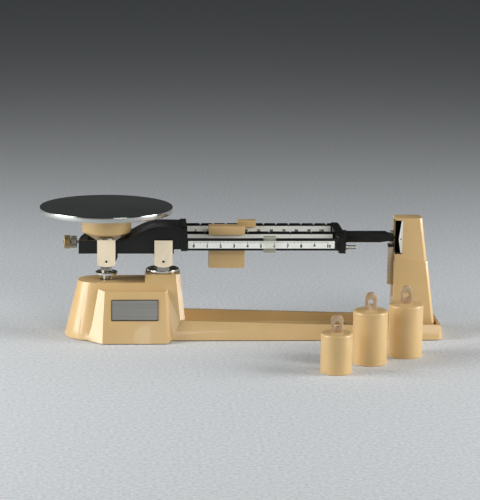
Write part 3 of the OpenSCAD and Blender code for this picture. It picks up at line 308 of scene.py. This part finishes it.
def line_inside(bm, depth_mm):
    """Give the second finish, a painted shade, to the faces that lie deeper than a wall inside the outer
    planes.
    """
    flat_mm = 0.05
    bm.normal_update()
    points = [v.co.copy() for v in bm.verts]
    outer = [(f.verts[0].co.copy(), f.normal.copy()) for f in bm.faces
             if max((p - f.verts[0].co).dot(f.normal) for p in points) < flat_mm * MM]
    for f in bm.faces:
        middle = f.calc_center_median()
        if min((p - middle).dot(n) for p, n in outer) > depth_mm * MM:
            f.material_index = 1


# Just under the thickness of the column's sheet, in millimetres
COLUMN_WALL = 1.8


def rounded(node, width_mm, segments=3, finish=None, inside_shade=None):
    """The node again, with its sharp edges eased as paint and casting leave them."""
    bm = merged(node)
    finish = finish or slot_of_node[node]
    # The inside faces get the second finish as painted shade for the dark hollow inside the column
    if inside_shade:
        line_inside(bm, COLUMN_WALL)
        finish = (finish, inside_shade)
    mesh = bpy.data.meshes.new(node + "_eased")
    bm.to_mesh(mesh)
    bm.free()
    mesh.shade_smooth()
    obj = piece(node + "_eased", mesh, body_of_node[node], finish, (node,))
    ease = obj.modifiers.new("ease", "BEVEL")
    ease.width = width_mm * MM
    ease.segments = segments
    ease.limit_method = "ANGLE"
    ease.angle_limit = math.radians(28)
    ease.harden_normals = True
    ease.miter_outer = "MITER_ARC"


def spun(name, profile, centre, body, finish, replaced, steps=192):
    """A turned piece: the profile's (radius, height) pairs in millimetres, spun round an upright axis."""
    bm = bmesh.new()
    verts = [bm.verts.new(centre + Vector((r, 0, h)) * MM) for r, h in profile]
    edges = [bm.edges.new(pair) for pair in zip(verts, verts[1:])]
    bmesh.ops.spin(bm, geom=verts + edges, cent=centre, axis=(0, 0, 1), angle=math.tau, steps=steps,
                   use_merge=True)
    bmesh.ops.remove_doubles(bm, verts=bm.verts, dist=1e-6)
    bmesh.ops.recalc_face_normals(bm, faces=bm.faces)
    mesh = bpy.data.meshes.new(name)
    bm.to_mesh(mesh)
    bm.free()
    shaded(mesh)
    piece(name, mesh, body, finish, replaced)


def arc(cx, cz, r, start, stop, steps=6):
    """Points of an arc in a profile, angles in degrees."""
    return [(cx + r * math.cos(math.radians(start + (stop - start) * i / steps)),
             cz + r * math.sin(math.radians(start + (stop - start) * i / steps))) for i in range(steps + 1)]


def size_mm(node):
    """A node's box, in millimetres along x, y and z."""
    low, high = (Vector(c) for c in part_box(node))
    return (high - low) / MM


def foot_of(node):
    """Middle of a node's lower end."""
    low, high = (Vector(c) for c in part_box(node))
    return Vector(((low.x + high.x) / 2, (low.y + high.y) / 2, low.z))


def knurled(node, teeth, finish):
    """The zero adjuster's turned rings, with a toothed rim between two chamfers."""
    tooth = 0.3 * MM
    chamfer = 0.5 * MM
    fall = 0.7 * MM
    low, high = (Vector(c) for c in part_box(node))
    r = (high.z - low.z) / 2
    middle = Vector((low.x, (low.y + high.y) / 2, (low.z + high.z) / 2))

    def around(v):
        """The corner's angle round the axis."""
        return math.atan2(v.co.y - middle.y, v.co.z - middle.z)

    bm = bmesh.new()
    rim = bmesh.ops.create_circle(bm, cap_ends=True, segments=2 * teeth, radius=r - fall)["verts"]
    turned = Matrix.Translation(middle) @ Matrix.Rotation(math.pi / 2, 4, "Y")
    bmesh.ops.transform(bm, matrix=turned, verts=rim)
    face = bm.faces[:]
    land = high.x - low.x - 2 * chamfer
    for step, reach, depth in ((chamfer, r, tooth), (land, r, tooth), (chamfer, r - fall, 0)):
        grown = bmesh.ops.extrude_face_region(bm, geom=face)
        face = [g for g in grown["geom"] if isinstance(g, bmesh.types.BMFace)]
        for i, v in enumerate(sorted({v for f in face for v in f.verts}, key=around)):
            out = v.co - middle
            along = Vector((out.x + step, 0, 0))
            out.x = 0
            v.co = middle + along + out.normalized() * (reach - depth * (i % 2))
    bmesh.ops.recalc_face_normals(bm, faces=bm.faces)
    mesh = bpy.data.meshes.new(node)
    bm.to_mesh(mesh)
    bm.free()
    shaded(mesh, 20)
    piece(node + "_knurled", mesh, body_of_node[node], finish, (node,))


def headed_pins(node, covers, head_mm):
    """The covers' pins, each with a flat head that lies on its cover."""
    gap_mm = 0.01
    side_mm = 0.16
    edge_mm = 0.12
    fall_mm = 0.2
    faces_y = [c[1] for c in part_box(covers)]
    bm = merged(node)
    reach = max(abs(v.co.y - HOME.y) for v in bm.verts)
    ends = [f for f in bm.faces if all(abs(v.co.y - HOME.y) > reach - 0.05 * MM for v in f.verts)]
    for end in ends:
        middle = end.calc_center_median()
        out = 1 if middle.y > HOME.y else -1
        for v in end.verts:
            v.co.y = faces_y[out > 0] + out * gap_mm * MM
        face = end
        for radius, lift in ((head_mm, 0), (head_mm, side_mm), (head_mm - fall_mm, edge_mm)):
            grown = bmesh.ops.extrude_face_region(bm, geom=[face])
            face = next(g for g in grown["geom"] if isinstance(g, bmesh.types.BMFace))
            for v in face.verts:
                away = v.co - middle
                away.y = 0
                raised = Vector((middle.x, v.co.y + out * lift * MM, middle.z))
                v.co = raised + away.normalized() * radius * MM
    bmesh.ops.recalc_face_normals(bm, faces=bm.faces)
    mesh = bpy.data.meshes.new(node)
    bm.to_mesh(mesh)
    bm.free()
    shaded(mesh)
    piece(node + "_headed", mesh, body_of_node[node], "black_paint", (node,))


# Thickness of the printing
INK = 0.02 * MM


class Print:
    """Thin black marks on a vertical face that looks to the front."""

    def __init__(self, name, y):
        self.name = name
        self.y = y
        self.bm = bmesh.new()

    def tick(self, x, z0, z1, width_mm):
        """An upright line from z0 to z1."""
        middle = Vector((x, self.y - INK / 2, (z0 + z1) / 2))
        bmesh.ops.create_cube(self.bm, size=1.0, matrix=Matrix.Translation(middle)
                              @ Matrix.Diagonal((width_mm * MM, INK, z1 - z0, 1)))

    def number(self, text, x, z, height_mm, bold_mm):
        """A number with its middle at x and z."""
        curve = bpy.data.curves.new(self.name, "FONT")
        curve.body = text
        curve.size = height_mm * MM
        curve.align_x = "CENTER"
        curve.align_y = "CENTER"
        curve.offset = bold_mm * MM
        curve.extrude = INK / 2
        curve.resolution_u = 3
        obj = bpy.data.objects.new(self.name, curve)
        bpy.context.scene.collection.objects.link(obj)
        depsgraph = bpy.context.evaluated_depsgraph_get()
        mesh = bpy.data.meshes.new_from_object(obj.evaluated_get(depsgraph))
        bpy.data.objects.remove(obj)
        upright = Matrix.Rotation(math.pi / 2, 4, "X")
        mesh.transform(Matrix.Translation((x, self.y - INK / 2, z)) @ upright)
        self.bm.from_mesh(mesh)

    def done(self, body):
        """Make the marks one piece on its body."""
        mesh = bpy.data.meshes.new(self.name)
        self.bm.to_mesh(mesh)
        self.bm.free()
        piece(self.name, mesh, body, "print_black")


# Painted castings, sheets and bars, with their edges eased
rounded("base_casting", 0.9, 3)
# The column's inside faces get black paint as painted shade for its dark hollow
rounded("column_lower", 0.6, 3, inside_shade="black_paint")
rounded("column_cap", 0.6, 3, inside_shade="black_paint")
rounded("beam_casting", 0.7, 3)
rounded("end_casting", 0.6, 3)
rounded("pan_hub", 0.5, 2)
rounded("middle_poise", 0.4, 2)
rounded("rear_poise", 0.35, 2)
for node in ("front_beam", "middle_beam", "rear_beam", "pointer_arm"):
    rounded(node, 0.15, 2, "bar_paint")
rounded("vane_clamp", 0.2, 2)
for node in ("fulcrum_covers", "pan_covers"):
    rounded(node, 0.2, 2)
for node in ("small_tongue", "left_tongue", "right_tongue", "fulcrum_yoke", "pan_yoke"):
    rounded(node, 0.25, 2)
rounded("rider_frame", 0.2, 2, "rider_metal")
rounded("hanger_pin", 0.6, 3)
rounded("rider_window", 0.15, 2)

# The pan: a spun sheet with a turned-down rim and a ring under it
sheet = 1.2
fold = 1
ring_outer = 25.3
ring_inner = 23.3
ring_depth = 3
r, h = size_mm("pan").x / 2, size_mm("pan").z
under = h - sheet
spun("pan_spun",
     [(0, h), (r - fold, h)] + arc(r - fold, h - fold, fold, 90, 0)
     + [(r, 0.5)] + arc(r - sheet / 2, 0.5, sheet / 2, 0, -180) + [(r - sheet, under - fold)]
     + arc(r - 2 * sheet, h - 2 * sheet, sheet, 0, 90)
     + [(ring_outer, under), (ring_outer, under - ring_depth), (ring_inner, under - ring_depth),
        (ring_inner, under), (0, under)],
     foot_of("pan"), "pan", "pan_steel", ("pan",), 256)

# The dish under the fulcrum, with a rolled rim
dish_hole = 6.9
rim = 0.6
r, h = size_mm("fulcrum_dish").x / 2, size_mm("fulcrum_dish").z
spun("fulcrum_dish_spun",
     [(dish_hole, 1), (dish_hole, 0), (r - 2.2, 0)] + arc(r - 2, 2, 2, -90, 0)
     + arc(r - rim, h - rim, rim, 0, 150) + arc(r - 5, h + 0.4, 3.4, -20, -70)
     + [(r - 8, 1.15), (dish_hole, 1)],
     foot_of("fulcrum_dish"), "base", "chrome_plate", ("fulcrum_dish",))

# The attachment weights: turned bodies with a rounded shoulder and a fine line at each end
shoulder = 2.4
heel = 0.9
hollow = 0.4
cut = 0.25
half_line = 0.3
low_line = 3.4
top_line = 4.2
for node in ("small_weight", "left_weight", "right_weight"):
    r, h = size_mm(node).x / 2, size_mm(node).z
    lines = []
    for z in (low_line, h - top_line):
        lines += [(r, z - half_line), (r - cut, z), (r, z + half_line)]
    spun(node + "_turned",
         [(0, hollow), (r - 3, hollow), (r - 3 - hollow, 0), (r - heel, 0)]
         + arc(r - heel, heel, heel, -90, 0, 4) + lines
         + arc(r - shoulder, h - shoulder, shoulder, 0, 90, 8) + [(0, h)],
         foot_of(node), node, "beige_paint", (node,))

# The zero adjuster on its stud
knurled("zero_knob", 44, "brass")
knurled("zero_locknut", 40, "steel")

# The pins through the cream covers
headed_pins("fulcrum_cover_pins", "fulcrum_covers", 1.35)
headed_pins("pan_cover_pins", "pan_covers", 1.35)

# The bare plate: a black border round a brushed silver field
border = 1.4
step = 0.12
bm = merged("label_plate")
front = max(bm.faces, key=lambda f: f.calc_area() * -f.normal.y)
bmesh.ops.inset_region(bm, faces=[front], thickness=border * MM, depth=0)
for f in bm.faces:
    f.material_index = 1
front.material_index = 0
bmesh.ops.inset_region(bm, faces=[front], thickness=step * MM, depth=-step * MM)
mesh = bpy.data.meshes.new("label_plate_bare")
bm.to_mesh(mesh)
bm.free()
piece("label_plate_bare", mesh, "base", ("brushed_silver", "print_black"), ("label_plate",))

# The front scale: ten units of ten ticks, with longer ticks at the halves and the whole units.
# The wide last number stands a little to the right of its tick
front_first = 6.3
front_unit = 15.36
last_shift = 0.8
top_gap = 0.5
low, high = (Vector(c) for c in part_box("front_scale"))
marks = Print("front_scale_marks", low.y)
for i in range(101):
    x = low.x + (front_first + front_unit / 10 * i) * MM
    length = 3.4 if i % 10 == 0 else 2.5 if i % 5 == 0 else 1.8
    width = 0.5 if i % 10 == 0 else 0.3
    marks.tick(x, high.z - (top_gap + length) * MM, high.z - top_gap * MM, width)
for i in range(11):
    x = low.x + (front_first + front_unit * i + (last_shift if i == 10 else 0)) * MM
    marks.number(str(i), x, low.z + 2.6 * MM, 4.6, 0.28)
marks.done("beam")

# The rear and middle scales: a tick and a number at each notch
notch_top = 0.4
notch_length = 1.2
for node, count, step, first, pitch, shift, number_z in (
        ("rear_scale", 11, 10, 15.7, 14.7, -5.6, 3.1),
        ("middle_scale", 6, 100, 20.4, 24.6, 0, 2.4)):
    low, high = (Vector(c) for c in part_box(node))
    marks = Print(node + "_marks", low.y)
    for i in range(count):
        x = low.x + (first + pitch * i) * MM
        marks.tick(x, high.z - (notch_top + notch_length) * MM, high.z - notch_top * MM, 0.25)
        marks.number(str(step * i), x + shift * MM, low.z + number_z * MM, 3.8, 0.22)
    marks.done("beam")

# The index plate's zero, at the height of the pointer
pointer_z = 114
low, high = (Vector(c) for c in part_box("index_plate"))
marks = Print("index_marks", low.y)
marks.number("0", low.x + 2.4 * MM, at(0, 0, pointer_z).z, 3.0, 0.12)
marks.done("base")

# Everything else keeps its CAD shape and gets its finish
for name, obj in nodes.items():
    obj.data.materials.clear()
    obj.data.materials.append(finishes[slot_of_node[name]])

# The castings' screws are painted over, the vane's screw, right of the castings, is bare
castings_end = 290
heads = nodes["beam_screws"].data
heads.materials.append(finishes["black_paint"])
for f in heads.polygons:
    f.material_index = 0 if f.center.x > at(castings_end, 0, 0).x else 1


# Floor, lights and camera

def soft_box(name, where, towards, width, height, power):
    """A rectangular studio lamp, in metres and watts."""
    data = bpy.data.lights.new(name, "AREA")
    data.shape = "RECTANGLE"
    data.size = width
    data.size_y = height
    data.energy = power
    obj = bpy.data.objects.new(name, data)
    bpy.context.scene.collection.objects.link(obj)
    obj.location = where
    obj.rotation_euler = (Vector(towards) - Vector(where)).to_track_quat("-Z", "Y").to_euler()


soft_box("left_box", (-1.5, -0.25, 0.6), (-0.05, 0, 0.08), 1.0, 1.1, 31)
soft_box("right_box", (1.6, -0.25, 0.55), (0.05, 0, 0.08), 0.9, 1.1, 29)
soft_box("front_box", (0.9, -2.2, 1.1), (0.2, -0.1, 0.03), 1.0, 0.8, 15)

world = bpy.data.worlds.new("studio")
bpy.context.scene.world = world
world.use_nodes = True
world.node_tree.nodes["Background"].inputs["Color"].default_value = (0.052, 0.055, 0.056, 1)
world.node_tree.nodes["Background"].inputs["Strength"].default_value = 1.0

bm = bmesh.new()
bmesh.ops.create_grid(bm, x_segments=1, y_segments=1, size=6.0)
floor_mesh = bpy.data.meshes.new("floor")
bm.to_mesh(floor_mesh)
bm.free()
floor = bpy.data.objects.new("floor", floor_mesh)
bpy.context.scene.collection.objects.link(floor)
paper = Finish("pale_floor", 0.8)
paper.colour(paper.noise(260, 4), lin(198, 202, 205), lin(226, 229, 231))
floor_mesh.materials.append(paper.mat)

# The camera as fitted: focal length in pixels of the photograph, angles in degrees, place in millimetres
focal_px = 2000.0
long_side_px = 500.0
sensor_mm = 36.0
eye = at(15.6, -2262.3, 550.7)
lens = bpy.data.cameras.new("camera")
lens.sensor_fit = "AUTO"
lens.sensor_width = sensor_mm
lens.lens = focal_px / long_side_px * sensor_mm
lens.clip_start = 0.05
lens.clip_end = 50.0
camera = bpy.data.objects.new("camera", lens)
bpy.context.scene.collection.objects.link(camera)
pitch, azimuth, roll = (math.radians(a) for a in (11.27, 3.5, 0.7))
forward = Vector((math.sin(azimuth) * math.cos(pitch), math.cos(azimuth) * math.cos(pitch), -math.sin(pitch)))
level = Vector((math.cos(azimuth), -math.sin(azimuth), 0))
down = forward.cross(level)
right = level * math.cos(roll) - down * math.sin(roll)
down = level * math.sin(roll) + down * math.cos(roll)
turn = Matrix((right, -down, -forward)).transposed().to_4x4()
camera.matrix_world = Matrix.Translation(eye) @ turn
bpy.context.scene.camera = camera

bpy.context.scene.view_settings.view_transform = "Standard"
